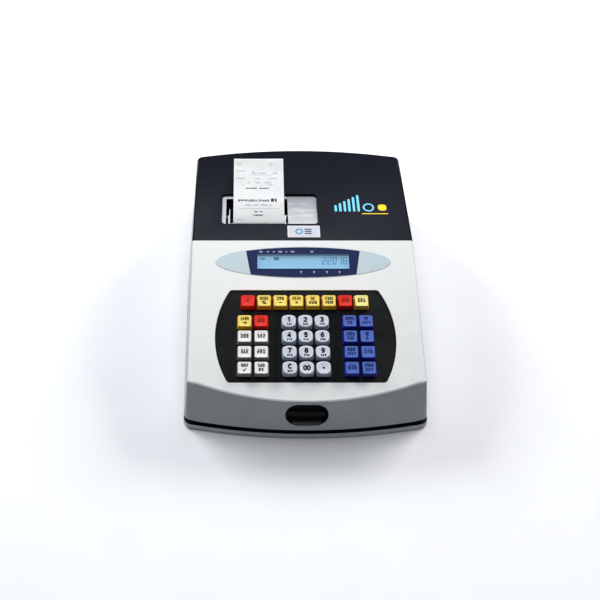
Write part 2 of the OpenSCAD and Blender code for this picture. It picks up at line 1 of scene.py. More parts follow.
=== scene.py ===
"""Desktop cash register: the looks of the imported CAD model.

Lengths are in millimetres and are turned into metres when a mesh is made. Three local
frames are used: WORLD is the model's own, DECK lies on the sloping deck with x along the
crease, y up the slope and z outwards, and COVER lies on the flat rear cover, with its
origin on the crease.
"""

import bisect
import json
import math
import random

import bmesh
import bpy
from mathutils import Matrix, Vector

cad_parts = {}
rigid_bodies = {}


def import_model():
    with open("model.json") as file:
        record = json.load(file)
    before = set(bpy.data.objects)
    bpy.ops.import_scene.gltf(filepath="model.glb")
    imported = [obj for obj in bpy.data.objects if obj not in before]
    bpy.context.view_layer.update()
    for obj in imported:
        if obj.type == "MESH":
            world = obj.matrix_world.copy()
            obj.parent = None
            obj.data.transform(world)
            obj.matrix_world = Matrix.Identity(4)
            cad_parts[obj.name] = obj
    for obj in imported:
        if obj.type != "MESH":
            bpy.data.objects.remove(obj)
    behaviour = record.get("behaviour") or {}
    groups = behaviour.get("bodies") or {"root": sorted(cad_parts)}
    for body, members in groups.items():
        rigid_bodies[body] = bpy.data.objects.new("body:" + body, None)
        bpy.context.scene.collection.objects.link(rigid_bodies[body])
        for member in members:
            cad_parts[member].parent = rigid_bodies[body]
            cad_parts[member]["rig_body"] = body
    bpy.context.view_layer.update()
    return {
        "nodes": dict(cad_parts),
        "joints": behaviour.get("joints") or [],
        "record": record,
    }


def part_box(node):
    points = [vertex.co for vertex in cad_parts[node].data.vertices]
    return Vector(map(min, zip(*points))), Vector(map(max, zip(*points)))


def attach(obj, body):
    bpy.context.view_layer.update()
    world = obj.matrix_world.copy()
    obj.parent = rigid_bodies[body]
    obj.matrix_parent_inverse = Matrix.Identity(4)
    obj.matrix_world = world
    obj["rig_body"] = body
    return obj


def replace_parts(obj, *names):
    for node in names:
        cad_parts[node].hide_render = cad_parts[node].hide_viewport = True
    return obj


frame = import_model()

MM = 0.001

# Edges sharper than the first are shaded sharp, and those sharper than the second are
# rounded. CAD faces that differ by less than the third are made one.
SHARP_ANGLE = math.radians(38)
FEATURE_ANGLE = math.radians(28)
FLAT_ANGLE = math.radians(0.4)
WELD = 0.002

NODES = frame["nodes"]
JOINTS = {joint["name"]: joint for joint in frame["joints"]}
PRESS = Vector(JOINTS["key_clear_press"]["axis"])
TILT = math.atan2(PRESS.y, -PRESS.z)
DECK_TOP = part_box("top_deck")[1]
CREASE = Matrix.Translation((0, DECK_TOP.y, DECK_TOP.z))
WORLD = Matrix.Scale(MM, 4)
DECK = CREASE @ Matrix.Rotation(TILT, 4, "X") @ WORLD
COVER = CREASE @ WORLD


def box_in(node, place):
    """Lowest and highest corner of a CAD node in a local frame, in millimetres."""
    inverse = place.inverted()
    points = [inverse @ v.co for v in NODES[node].data.vertices]
    low = Vector([min(p[i] for p in points) for i in range(3)])
    high = Vector([max(p[i] for p in points) for i in range(3)])
    return low, high


# ---- camera, floor and light ----


def add_camera():
    """The photograph's camera: above the front edge, looking down to the rear."""
    pitch = 52.79
    data = bpy.data.cameras.new("camera")
    data.lens = 44.76
    data.sensor_width = 36
    data.shift_x = 0.0808
    data.clip_end = 20
    camera = bpy.data.objects.new("camera", data)
    camera.location = (-0.056, -0.5243, 0.6964)
    camera.rotation_euler = (math.radians(90 - pitch), 0, 0)
    bpy.context.scene.collection.objects.link(camera)
    bpy.context.scene.camera = camera


def area_light(name, place, target, width, depth, power, colour=(1, 1, 1)):
    """A rectangular lamp at place that shines towards target."""
    data = bpy.data.lights.new(name, "AREA")
    data.shape = "RECTANGLE"
    data.size = width
    data.size_y = depth
    data.energy = power
    data.color = colour
    lamp = bpy.data.objects.new(name, data)
    lamp.location = place
    aim = Vector(target) - Vector(place)
    lamp.rotation_euler = aim.to_track_quat("-Z", "Y").to_euler()
    bpy.context.scene.collection.objects.link(lamp)


def add_lights():
    """Two low softboxes behind, weaker ones high behind and overhead, and a front fill."""
    cool, warm, sky = (0.96, 0.98, 1), (1, 0.99, 0.97), (0.84, 0.91, 1)
    area_light("low_left", (-1.7, 1.7, 1.1), (0, 0, 0), 1.2, 0.7, 73, cool)
    area_light("low_right", (1.7, 1.7, 1.1), (0, 0, 0), 1.2, 0.7, 72, warm)
    area_light("high_rear", (-0.2, 1.3, 1.9), (0, 0, 0), 1.6, 0.6, 13, (0.9, 0.94, 1))
    area_light("overhead", (-0.05, 0.5, 1.5), (0, 0, 0.05), 0.9, 0.5, 7.5)
    area_light("front", (0, -1.5, 1.0), (0, 0, 0.03), 1.4, 0.8, 4, sky)
    world = bpy.data.worlds.new("studio")
    world.use_nodes = True
    background = world.node_tree.nodes["Background"]
    background.inputs["Color"].default_value = sky + (1,)
    background.inputs["Strength"].default_value = 0.03
    bpy.context.scene.world = world
    bpy.context.scene.view_settings.view_transform = "Standard"


# ---- materials ----


def tint(red, green, blue):
    """A colour given as three 0 to 255 display values, as the linear values of a shader."""
    shares = [c / 255 for c in (red, green, blue)]
    return tuple(c / 12.92 if c <= 0.04 else ((c + 0.055) / 1.055) ** 2.4 for c in shares) + (1,)


def scaled(colour, factor):
    return tuple(min(1, c * factor) for c in colour[:3]) + (1,)


class Material:
    """A node material that is built up one node at a time."""

    def __init__(self, name):
        self.data = bpy.data.materials.new(name)
        self.data.use_nodes = True
        self.tree = self.data.node_tree
        self.shader = self.tree.nodes["Principled BSDF"]
        self.coordinates = self.add("ShaderNodeTexCoord").outputs["Object"]

    def add(self, kind, settings=(), **inputs):
        node = self.tree.nodes.new(kind)
        for key, value in dict(settings).items():
            setattr(node, key, value)
        for key, value in inputs.items():
            self.set(node.inputs[key.replace("_", " ")], value)
        return node

    def set(self, socket, value):
        if isinstance(value, bpy.types.NodeSocket):
            self.tree.links.new(value, socket)
        else:
            socket.default_value = value

    def stretched(self, stretch):
        """The object's coordinates, scaled per axis."""
        node = self.add("ShaderNodeMapping", Vector=self.coordinates, Scale=stretch)
        return node.outputs["Vector"]

    def noise(self, size, detail=2, stretch=None):
        """Noise whose features are about size millimetres wide."""
        vector = self.stretched(stretch) if stretch else self.coordinates
        scale = 1 / (size * MM)
        node = self.add("ShaderNodeTexNoise", Vector=vector, Scale=scale, Detail=detail)
        return node.outputs["Fac"]

    def ranged(self, value, low, high, start=0.3, end=0.7):
        """Maps a value from start..end onto low..high."""
        limits = {"From_Min": start, "From_Max": end, "To_Min": low, "To_Max": high}
        return self.add("ShaderNodeMapRange", Value=value, **limits).outputs["Result"]

    def mix(self, factor, first, second):
        node = self.add("ShaderNodeMix", {"data_type": "RGBA"})
        self.set(node.inputs[0], factor)
        self.set(node.inputs[6], first)
        self.set(node.inputs[7], second)
        return node.outputs[2]

    def worn(self):
        """0 on flat faces, rising to 1 on convex edges."""
        pointiness = self.add("ShaderNodeNewGeometry").outputs["Pointiness"]
        return self.ranged(pointiness, 0, 1, 0.5, 0.55)

    def relief(self, height, depth, strength=1.0):
        """Bumps depth millimetres high."""
        node = self.add("ShaderNodeBump", Height=height, Distance=depth * MM, Strength=strength)
        self.set(self.shader.inputs["Normal"], node.outputs["Normal"])

    def finish(self, **inputs):
        for key, value in inputs.items():
            self.set(self.shader.inputs[key.replace("_", " ")], value)
        return self.data


def moulded(
    name, colour, roughness, grain=0.35, depth=0.02, wear=1.25, shine=0.5, uneven=0.045
):
    """Moulded plastic: a fine spark texture grain mm wide and depth mm high, faint
    mottling, and edges that are paler by the factor wear."""
    m = Material(name)
    mottle = m.mix(m.ranged(m.noise(14, 4), 0, 1), scaled(colour, 0.955), scaled(colour, 1.03))
    shade = m.mix(m.worn(), mottle, scaled(colour, wear))
    rough = m.ranged(m.noise(2.5, 3), roughness - uneven, roughness + uneven)
    m.relief(m.noise(grain, 1), depth)
    return m.finish(Base_Color=shade, Roughness=rough, Specular_IOR_Level=shine)


def steel_sheet(name, colour, roughness, stretch, spots):
    """Rolled steel with fine scratches along one axis and a few dull patches, which are
    rougher by up to spots."""
    m = Material(name)
    scratch = m.noise(0.6, 3, stretch)
    patch = m.noise(11, 3)
    shade = m.mix(m.ranged(scratch, 0, 1), scaled(colour, 0.8), colour)
    rough = m.add("ShaderNodeMath", {"operation": "ADD"})
    m.set(rough.inputs[0], m.ranged(scratch, roughness - 0.05, roughness + 0.07))
    m.set(rough.inputs[1], m.ranged(patch, 0, spots, 0.5, 0.7))
    m.relief(scratch, 0.01, 0.6)
    return m.finish(Base_Color=shade, Roughness=rough.outputs[0], Metallic=1.0)


def banded_sheet(name, y0, y1):
    """A stamped steel sheet with painted light: paler towards the front and darker towards the back
    as painted shade, with soft uneven streaks as painted reflections.
    """
    m = Material(name)
    place = m.add("ShaderNodeSeparateXYZ", Vector=m.coordinates)
    # painted shade: the sheet darkens from front to back, as under the cover's edge
    back = m.ranged(place.outputs["Y"], 0, 1, y0, y1)
    # painted reflection: soft uneven streaks of brighter and duller steel
    painted_reflection_bands = m.ranged(m.noise(15, 2, (0.35, 1.4, 1)), 0, 1, 0.42, 0.6)
    dull = m.mix(back, (0.4, 0.405, 0.41, 1), (0.21, 0.213, 0.23, 1))
    bright = m.mix(back, (0.52, 0.525, 0.525, 1), (0.31, 0.312, 0.325, 1))
    scratch = m.noise(0.6, 3, (1, 40, 40))
    m.relief(scratch, 0.01, 0.6)
    return m.finish(
        Base_Color=m.mix(painted_reflection_bands, dull, bright),
        Roughness=m.ranged(scratch, 0.36, 0.46),
        Metallic=1.0,
    )


def rubber(name, colour):
    """Matt rubber with paler dusty patches."""
    m = Material(name)
    dust = m.mix(m.ranged(m.noise(5, 5), 0, 0.5, 0.45, 0.75), colour, scaled(colour, 2.6))
    m.relief(m.noise(0.5, 2), 0.03)
    return m.finish(Base_Color=dust, Roughness=m.ranged(m.noise(1.5, 3), 0.65, 0.85))


def circuit_board(name):
    """Green solder mask over a grid of tracks and plated pads."""
    m = Material(name)
    tracks = m.add(
        "ShaderNodeTexBrick",
        {"offset": 0.37, "squash": 1.0},
        Vector=m.coordinates,
        Scale=1 / (9 * MM),
        Mortar_Size=0.035,
        Brick_Width=0.9,
        Row_Height=0.16,
    )
    mask = m.mix(tracks.outputs["Fac"], (0.012, 0.11, 0.035, 1), (0.03, 0.2, 0.07, 1))
    cells = m.add("ShaderNodeTexVoronoi", Vector=m.coordinates, Scale=1 / (4.5 * MM))
    pads = m.ranged(cells.outputs["Distance"], 1, 0, 0.1, 0.13)
    shade = m.mix(pads, mask, (0.62, 0.55, 0.4, 1))
    m.relief(tracks.outputs["Fac"], 0.04)
    rough = m.ranged(m.noise(3, 3), 0.25, 0.4)
    return m.finish(Base_Color=shade, Roughness=rough, Metallic=pads)


def printed_paper(name):
    """Thermal paper: bright, with faint fibres and a slight unevenness."""
    m = Material(name)
    fibres = m.noise(0.5, 4, (1, 3, 3))
    dark, light = (0.7, 0.71, 0.71, 1), (0.76, 0.76, 0.755, 1)
    shade = m.mix(m.ranged(m.noise(16, 3), 0, 1), dark, light)
    m.relief(fibres, 0.015)
    return m.finish(Base_Color=shade, Roughness=m.ranged(fibres, 0.5, 0.66))


def wound_paper(name, centre):
    """The ends of a paper roll: fine rings about its axis."""
    m = Material(name)
    shifted = m.add(
        "ShaderNodeMapping", Vector=m.coordinates, Location=-centre, Scale=(0.02, 1, 1)
    )
    rings = m.add(
        "ShaderNodeTexWave",
        {"wave_type": "RINGS", "rings_direction": "X"},
        Vector=shifted.outputs["Vector"],
        Scale=1 / (3.4 * MM),
        Distortion=0.6,
        Detail=2,
    )
    shade = m.mix(rings.outputs["Fac"], (0.72, 0.72, 0.7, 1), (0.88, 0.88, 0.87, 1))
    m.relief(rings.outputs["Fac"], 0.05)
    return m.finish(Base_Color=shade, Roughness=m.ranged(m.noise(1, 3), 0.6, 0.75))


def ink(name, colour, roughness=0.5):
    """A print that lies on a surface, a little uneven in its density."""
    m = Material(name)
    shade = m.mix(m.ranged(m.noise(0.8, 3), 0, 1), colour, scaled(colour, 1.25))
    rough = m.ranged(m.noise(1.2, 2), roughness - 0.05, roughness + 0.05)
    return m.finish(Base_Color=shade, Roughness=rough, Specular_IOR_Level=0.12)


def lcd_face(name, low, high):
    """Backlit display: pale blue, shaded along its upper edge, with a dot grid."""
    m = Material(name)
    place = m.add("ShaderNodeSeparateXYZ", Vector=m.coordinates)
    fade = m.ranged(place.outputs["Y"], 0, 1, low + 0.72 * (high - low), high)
    grid = m.add(
        "ShaderNodeTexBrick",
        {"offset": 0.0},
        Vector=m.coordinates,
        Scale=1 / (0.9 * MM),
        Mortar_Size=0.02,
        Brick_Width=1,
        Row_Height=1,
    )
    cell = m.mix(grid.outputs["Fac"], (0.2, 0.4, 0.58, 1), (0.17, 0.36, 0.54, 1))
    shade = m.mix(fade, cell, (0.05, 0.16, 0.42, 1))
    m.relief(grid.outputs["Fac"], 0.01)
    return m.finish(
        Base_Color=shade,
        Roughness=m.ranged(m.noise(4, 2), 0.16, 0.24),
        Emission_Color=shade,
        Emission_Strength=0.3,
        Specular_IOR_Level=0.15,
    )


def floor_surface(name):
    """Matt white paper with a faint unevenness."""
    m = Material(name)
    m.relief(m.noise(1.2, 3), 0.02)
    dark, light = (0.84, 0.845, 0.87, 1), (0.86, 0.865, 0.89, 1)
    shade = m.mix(m.ranged(m.noise(60, 3), 0, 1), dark, light)
    return m.finish(Base_Color=shade, Roughness=m.ranged(m.noise(9, 3), 0.75, 0.85))


# ---- mesh helpers ----


def piece(name, bm, place, body, materials):
    """Turns a bmesh in a local frame into a smooth-shaded piece that rides on a body."""
    bmesh.ops.recalc_face_normals(bm, faces=bm.faces)
    mesh = bpy.data.meshes.new(name)
    bm.to_mesh(mesh)
    bm.free()
    mesh.transform(place)
    mesh.polygons.foreach_set("use_smooth", [True] * len(mesh.polygons))
    mesh.set_sharp_from_angle(angle=SHARP_ANGLE)
    for material in materials if isinstance(materials, list) else [materials]:
        mesh.materials.append(material)
    made = bpy.data.objects.new(name, mesh)
    bpy.context.scene.collection.objects.link(made)
    even = made.modifiers.new("even_shading", "WEIGHTED_NORMAL")
    even.keep_sharp = True
    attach(made, body)
    return made


def superellipse(width, depth, power, z, cx, cy, count=48):
    """A ring of points: an ellipse at power 2, nearly a rectangle at power 8."""
    points = []
    for i in range(count):
        a = 2 * math.pi * (i + 0.5) / count
        c, s = math.cos(a), math.sin(a)
        points.append((
            cx + width / 2 * math.copysign(abs(c) ** (2 / power), c),
            cy + depth / 2 * math.copysign(abs(s) ** (2 / power), s),
            z,
        ))
    return points


def loft(bm, rings, material_of=lambda i: 0, capped=True):
    """Joins rings of equal length into a skin. material_of(i) is the material over ring i,
    and a capped skin has a face across each end."""
    rows = [[bm.verts.new(p) for p in ring] for ring in rings]
    count = len(rows[0])
    for i in range(len(rows) - 1):
        for k in range(count):
            j = (k + 1) % count
            face = bm.faces.new((rows[i][k], rows[i][j], rows[i + 1][j], rows[i + 1][k]))
            face.material_index = material_of(i)
    if capped:
        bm.faces.new(list(reversed(rows[0]))).material_index = material_of(0)
        bm.faces.new(rows[-1]).material_index = material_of(len(rows) - 1)


def slab(bm, outline, z0, z1):
    """A flat plate between two levels."""
    loft(bm, [[(x, y, z) for x, y in outline] for z in (z0, z1)])


def rectangle(x0, y0, x1, y1):
    return [(x0, y0), (x1, y0), (x1, y1), (x0, y1)]


def refined(node, material, fillets):
    """A copy of a CAD node with rounded edges that stands for it. Each fillet is
    (test of an edge's middle point, radius, segments), and the first that fits counts."""
    bm = bmesh.new()
    bm.from_mesh(NODES[node].data)
    bm.transform(Matrix.Scale(1 / MM, 4))
    bmesh.ops.remove_doubles(bm, verts=bm.verts, dist=WELD)
    bmesh.ops.dissolve_limit(
        bm, angle_limit=FLAT_ANGLE, verts=bm.verts, edges=bm.edges, delimit={"NORMAL"}
    )
    chosen = [[] for _ in fillets]
    for edge in bm.edges:
        if len(edge.link_faces) == 2 and edge.calc_face_angle() > FEATURE_ANGLE:
            middle = (edge.verts[0].co + edge.verts[1].co) / 2
            for i, (test, _, _) in enumerate(fillets):
                if test(middle, edge):
                    chosen[i].append(edge)
                    break
    for (_, radius, segments), edges in zip(fillets, chosen):
        edges = [e for e in edges if e.is_valid]
        if edges:
            bmesh.ops.bevel(
                bm,
                geom=edges,
                offset=radius,
                segments=segments,
                profile=0.5,
                affect="EDGES",
                clamp_overlap=True,
            )
    made = piece(node + "_body", bm, WORLD, NODES[node]["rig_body"], material)
    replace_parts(made, node)
    return made


# ---- palette ----

# Steel colours are linear, because a metal's colour is its share of reflected light
GREY = tint(162, 167, 166)
# The tray's grey is paler than the shell's, as painted light for the light the floor throws onto
# its front strip
TRAY_WITH_PAINTED_BOUNCE = tint(176, 178, 182)
WHITE = tint(233, 234, 233)
BLACK = tint(12, 14, 25)
PANEL = tint(15, 17, 20)
INK = tint(8, 8, 11)

grey_plastic = moulded("grey_plastic", GREY, 0.48, wear=1.02)
tray_plastic = moulded("tray_plastic", TRAY_WITH_PAINTED_BOUNCE, 0.48, wear=1.02)
white_plastic = moulded("white_plastic", WHITE, 0.42, depth=0.012, wear=1.01)
black_plastic = moulded(
    "black_plastic", BLACK, 0.28, depth=0.001, wear=1.1, shine=0.1, uneven=0.012
)
panel_plastic = moulded("panel_plastic", PANEL, 0.6, depth=0.015, wear=1.15, shine=0.08)
# A mid grey as painted light: the lit floor of the front pull's recess
pull_lit_floor_grey = moulded("pull_lit_floor_grey", tint(118, 119, 122), 0.5, shine=0.3)
switch_plastic = moulded("switch_plastic", tint(38, 38, 42), 0.5)
foot_rubber = rubber("foot_rubber", tint(30, 30, 31))
roller_rubber = rubber("roller_rubber", tint(34, 34, 35))
bright_steel = steel_sheet("bright_steel", (0.47, 0.475, 0.485, 1), 0.42, (1, 40, 40), 0.03)
# The drive cover's steel carries painted shade towards the back and painted reflections
PLATE_LOW, PLATE_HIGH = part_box("drive_cover")
plate_steel = banded_sheet("plate_steel", PLATE_LOW.y, PLATE_HIGH.y)
head_alloy = steel_sheet("head_alloy", (0.6, 0.6, 0.58, 1), 0.42, (40, 1, 40), 0.1)
motor_steel = steel_sheet("motor_steel", (0.5, 0.51, 0.53, 1), 0.36, (1, 40, 40), 0.1)
screw_steel = steel_sheet("screw_steel", (0.55, 0.55, 0.56, 1), 0.3, (30, 30, 1), 0.1)
gear_plastic = moulded("gear_plastic", tint(226, 220, 200), 0.45)
board_mask = circuit_board("board_mask")
paper_white = printed_paper("paper_white")
bezel_blue = moulded("bezel_blue", tint(188, 205, 212), 0.3, depth=0.004, wear=1.02, shine=0.3)

PLAIN_NODES = {
    "base_tray": tray_plastic,
    "rubber_feet": foot_rubber,
    "body_shell": grey_plastic,
    "top_deck": white_plastic,
    "key_panel": panel_plastic,
    "key_switches": switch_plastic,
    "keyboard_pcb": board_mask,
    "main_board": board_mask,
    "display_window": bezel_blue,
    "front_pull": pull_lit_floor_grey,
    "case_screws": screw_steel,
    "power_switch": switch_plastic,
    "printer_frame": bright_steel,
    "print_head": head_alloy,
    "drive_cover": plate_steel,
    "tear_bar": bright_steel,
    "platen_roller": roller_rubber,
    "motor_pinion": gear_plastic,
    "paper_motor": motor_steel,
    "paper_roll": paper_white,
    "release_lever": bright_steel,
    "receipt": paper_white,
    "rear_cover": black_plastic,
}


def paint_cad():
    """Gives each CAD node its material, also where a refined piece stands for it."""
    for name, material in PLAIN_NODES.items():
        mesh = NODES[name].data
        mesh.materials.clear()
        mesh.materials.append(material)


# ---- keys ----

# Colour of a key's sides and of its top. The sides are painted darker and the tops lighter, as
# painted shade and painted light from lamps above; the slate keys' pale tops are partly their own
# paler face.
KEY_SHADED_AND_LIT_COLOURS = {
    "red": (tint(186, 20, 16), tint(232, 42, 24)),
    "yellow": (tint(214, 150, 22), tint(250, 222, 110)),
    "pale": (tint(214, 168, 60), tint(252, 236, 150)),
    "cream": (tint(118, 118, 110), tint(242, 242, 238)),
    "slate": (tint(138, 147, 160), tint(212, 216, 226)),
    "blue": (tint(30, 34, 130), tint(78, 106, 190)),
}
BLOCKS = {
    "top": ["red"] + ["yellow"] * 5 + ["red", "pale"],
    "left": ["yellow", "red"] + ["cream"] * 6,
    "digit": ["slate"] * 9,
}
KEYS = {}
for block, colours in BLOCKS.items():
    KEYS.update({f"key_{block}_{i + 1}": colour for i, colour in enumerate(colours)})
KEYS.update(key_clear="slate", key_double_zero="slate", key_point="slate")
KEYS.update({f"key_right_{i + 1}": "blue" for i in range(8)})

# Lean of the sides, radius of the rim, squareness of the foot and of the top, how late
# the one turns into the other, and the first ring that has the top's painted-light material
OVAL_CAP = (0.6, 0.9, 5.5, 2.6, 2, 9)
SQUARE_CAP = (1.15, 0.55, 14, 11, 1, 8)

# Heights over the deck: lower edge of a cap, and where its sides start to lean
SKIRT = -2.2
WAIST = 0.6
# How far a top lies behind its foot, the depth of its hollow, and the stem's width
BACK = 0.4
DISH = 0.3
STEM = 5
SIDE_STEPS = 6
RIM_STEPS = 5


def keycap(name, colour, shaded_side_material, lit_top_material):
    """A cap with leaning sides, a rounded rim and a dished top, on a stem. Returns the
    middle, size, height and squareness of the flat part of its top."""
    low, high = box_in(name, DECK)
    cx, cy = (low.x + high.x) / 2, (low.y + high.y) / 2
    width, depth, top = high.x - low.x, high.y - low.y, high.z
    lean, rim, foot_power, top_power, lateness, first_lit_ring = (
        OVAL_CAP if colour == "slate" else SQUARE_CAP
    )
    rings = [superellipse(width, depth, foot_power, z, cx, cy) for z in (SKIRT, WAIST)]
    for i in range(1, SIDE_STEPS + 1):
        t = i / SIDE_STEPS
        power = foot_power + (top_power - foot_power) * t ** lateness
        z = WAIST + (top - rim - WAIST) * t
        inset = 2 * lean * t
        rings.append(superellipse(width - inset, depth - inset, power, z, cx, cy + BACK * t))
    cy += BACK
    crown_w, crown_d = width - 2 * lean, depth - 2 * lean
    for i in range(1, RIM_STEPS + 1):
        a = math.pi / 2 * i / RIM_STEPS
        inset = 2 * rim * (1 - math.cos(a))
        z = top - rim + rim * math.sin(a)
        rings.append(superellipse(crown_w - inset, crown_d - inset, top_power, z, cx, cy))
    flat_w, flat_d = crown_w - 2 * rim, crown_d - 2 * rim
    for share in (0.85, 0.65, 0.4, 0.15):
        z = top - DISH * (1 - share ** 2)
        rings.append(superellipse(flat_w * share, flat_d * share, top_power, z, cx, cy))
    bm = bmesh.new()
    # painted shade and light: the sides take the darker material, the upper rim and top the lighter
    # one
    loft(bm, rings, lambda i: 1 if i >= first_lit_ring else 0)
    loft(bm, [superellipse(STEM, STEM, 2, z, cx, cy - BACK, 24) for z in (low.z, SKIRT)])
    made = piece(name + "_cap", bm, DECK, name, [shaded_side_material, lit_top_material])
    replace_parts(made, name)
    return cx, cy, flat_w, flat_d, top, top_power


def build_keys():
    """Caps and legends, in the order of KEYS, on which the random strokes depend."""
    materials = {}
    for colour, (side, top) in KEY_SHADED_AND_LIT_COLOURS.items():
        # A darker side and a lighter top material for each colour: painted shade and painted light
        materials[colour] = (
            moulded(f"key_{colour}_side", side, 0.42, depth=0.01, wear=1.25, shine=0.25),
            moulded(f"key_{colour}_top", top, 0.42, depth=0.008, wear=1.05, shine=0.2),
        )
    rng = random.Random(7)
    black = ink("legend_black", INK)
    own_inks = {
        "red": ink("legend_red", tint(122, 16, 14)),
        "blue": ink("legend_blue", tint(20, 24, 84)),
    }
    for name, colour in KEYS.items():
        cap = keycap(name, colour, *materials[colour])
        if name in DIGITS:
            draw = digit_legend(DIGITS[name], rng)
        else:
            block, number = name[4:].split("_")
            draw = word_legend(*LEGENDS[block][int(number) - 1], rng)
        legend(name, draw, own_inks.get(colour, black), cap)


# ---- stage ----

FLOOR_HALF = 3500


def add_floor():
    """A wide pale floor, which is no part of the object."""
    bm = bmesh.new()
    bmesh.ops.create_grid(bm, x_segments=2, y_segments=2, size=FLOOR_HALF)
    mesh = bpy.data.meshes.new("floor")
    bm.to_mesh(mesh)
    bm.free()
    mesh.transform(WORLD)
    mesh.materials.append(floor_surface("floor_white"))
    floor = bpy.data.objects.new("floor", mesh)
    bpy.context.scene.collection.objects.link(floor)


# ---- shells ----

# Height of the tray's light strip, above which the tray is painted black as painted shade in the
# seam, and the part of the deck's rim that is grey
STRIP_TOP = 5.5
RIM_X = 118
RIM_Y = -110
# Height of the main board's upper face over its foot
BOARD_TOP = 1.7


def anywhere(p, edge):
    return True


def repaint(made, test):
    """Gives the second material of a piece to the faces that meet a test."""
    for face in made.data.polygons:
        if test(face):
            face.material_index = 1


def build_deck():
    """The white deck, whose rim is as grey as the shell along the apron and the sides."""
    deck_up = DECK.inverted()

    def faces_out(normal, q):
        upright = normal.dot(-PRESS) < 0.82
        return upright and (abs(q.x) > RIM_X or (q.y < RIM_Y and normal.y < -0.25))

    def rim(p, edge):
        q = deck_up @ (p * MM)
        return q.z > -0.05 and any(faces_out(f.normal, q) for f in edge.link_faces)

    looks = [white_plastic, grey_plastic]
    deck = refined("top_deck", looks, [(rim, 1.5, 5), (anywhere, 0.3, 2)])
    repaint(deck, lambda face: faces_out(face.normal, deck_up @ face.center))


def build_cover():
    top = DECK_TOP.z / MM - 0.05

    def rim(p, edge):
        return p.z > top and (abs(p.x) > 110 or p.y > 150)

    refined("rear_cover", black_plastic, [(rim, 1.8, 4), (anywhere, 0.3, 2)])


def build_case():
    """The shell and the tray, whose ledge and lip are painted black under the shell as painted
    shade in the gap between them.
    """
    edges = [(anywhere, 0.4, 2)]
    refined("body_shell", grey_plastic, edges)
    tray = refined("base_tray", [tray_plastic, panel_plastic], edges)

    def in_seam(face):
        heights = [tray.data.vertices[i].co.z / MM for i in face.vertices]
        ledge = min(heights) > STRIP_TOP - 0.2
        lip = max(heights) > STRIP_TOP + 1 and abs(face.normal.z) < 0.9
        return ledge or lip

    # painted shade: the tray's ledge and lip take the black panel plastic
    repaint(tray, in_seam)
    pull = refined("front_pull", [panel_plastic, pull_lit_floor_grey], edges)
    # painted light: the pull's upward faces take the paler grey, the other faces stay black
    repaint(pull, lambda face: face.normal.z > 0.8)


def build_inner_parts():
    looks = [board_mask, switch_plastic]
    board = refined("main_board", looks, [(anywhere, 0.15, 1)])
    board_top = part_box("main_board")[0].z + BOARD_TOP * MM
    repaint(board, lambda face: face.center.z > board_top)
    for node, material, radius, slot in (
        ("printer_frame", bright_steel, 0.25, "sheet_steel"),
        ("drive_cover", plate_steel, 0.4, "sheet_steel"),
        ("release_lever", bright_steel, 0.25, "sheet_steel"),
        ("print_head", head_alloy, 0.3, "head_metal"),
        ("paper_motor", motor_steel, 0.4, "motor_metal"),
        ("power_switch", switch_plastic, 0.25, "switch_black"),
        ("key_panel", panel_plastic, 0.25, "panel_black"),
        ("display_window", bezel_blue, 0.3, "bezel_blue"),
    ):
        refined(node, material, [(anywhere, radius, 2)])


# ---- flat prints and plates ----


def filled_plate(bm, outline, holes, z0, z1):
    """A plate between two levels, with holes through it."""
    start = set(bm.faces)
    edges = []
    for rim in [outline] + holes:
        ring = [bm.verts.new((x, y, z0)) for x, y in rim]
        edges += [bm.edges.new((ring[i - 1], ring[i])) for i in range(len(ring))]
    bmesh.ops.triangle_fill(bm, use_beauty=True, use_dissolve=False, edges=edges)
    low = [f for f in bm.faces if f not in start]
    copy = bmesh.ops.extrude_face_region(bm, geom=low, use_keep_orig=True)
    raised = [v for v in copy["geom"] if isinstance(v, bmesh.types.BMVert)]
    bmesh.ops.translate(bm, verts=raised, vec=(0, 0, z1 - z0))


def arc_points(cx, cy, rx, ry, a0, a1, count):
    """Points along part of an ellipse, with angles in degrees."""
    points = []
    for i in range(count + 1):
        a = math.radians(a0 + (a1 - a0) * i / count)
        points.append((cx + rx * math.cos(a), cy + ry * math.sin(a)))
    return points


def ellipse(cx, cy, rx, ry, count=48):
    """A closed ring of points."""
    return arc_points(cx, cy, rx, ry, 0, 360 * (count - 1) / count, count - 1)


def rounded(x0, y0, x1, y1, r, steps=5):
    """A rectangle with rounded corners."""
    corners = (
        (x1 - r, y1 - r, 0),
        (x0 + r, y1 - r, 90),
        (x0 + r, y0 + r, 180),
        (x1 - r, y0 + r, 270),
    )
    return [p for cx, cy, a in corners for p in arc_points(cx, cy, r, r, a, a + 90, steps)]


def stamp(bm, points, faces, place):
    """Adds flat faces, with each point moved onto a surface by place(x, y)."""
    made = [bm.verts.new(place(x, y)) for x, y in points]
    for face in faces:
        bm.faces.new([made[i] for i in face])


def stamp_bar(bm, x0, y0, x1, y1, place):
    stamp(bm, rectangle(x0, y0, x1, y1), [(0, 1, 2, 3)], place)


def ribbon(bm, line, width, place):
    """A band of even width along a line of points, with mitred corners."""
    closed = line[0] == line[-1]
    points = [Vector(p) for p in (line[:-1] if closed else line)]
    count = len(points)
    left, right = [], []
    for i, p in enumerate(points):
        before = points[i - 1] if i or closed else None
        after = points[(i + 1) % count] if i < count - 1 or closed else None
        a = (p - before).normalized() if before is not None else None
        b = (after - p).normalized() if after is not None else None
        along = ((a or b) + (b or a)).normalized()
        across = Vector((-along.y, along.x))
        reach = width / 2 / max(0.5, along.dot(a or b))
        if before is None or after is None:
            p = p + along * (width * 0.2 if before is not None else -width * 0.2)
        left.append(p + across * reach)
        right.append(p - across * reach)
    made = [[bm.verts.new(place(p.x, p.y)) for p in side] for side in (left, right)]
    for i in range(count if closed else count - 1):
        j = (i + 1) % count
        bm.faces.new((made[0][i], made[0][j], made[1][j], made[1][i]))


def loop(cx, cy, rx, ry, a0=0, a1=360, steps=20):
    """Part of an ellipse; a full turn ends exactly where it starts."""
    points = arc_points(cx, cy, rx, ry, a0, a1, steps)
    if a1 - a0 == 360:
        points[-1] = points[0]
    return points


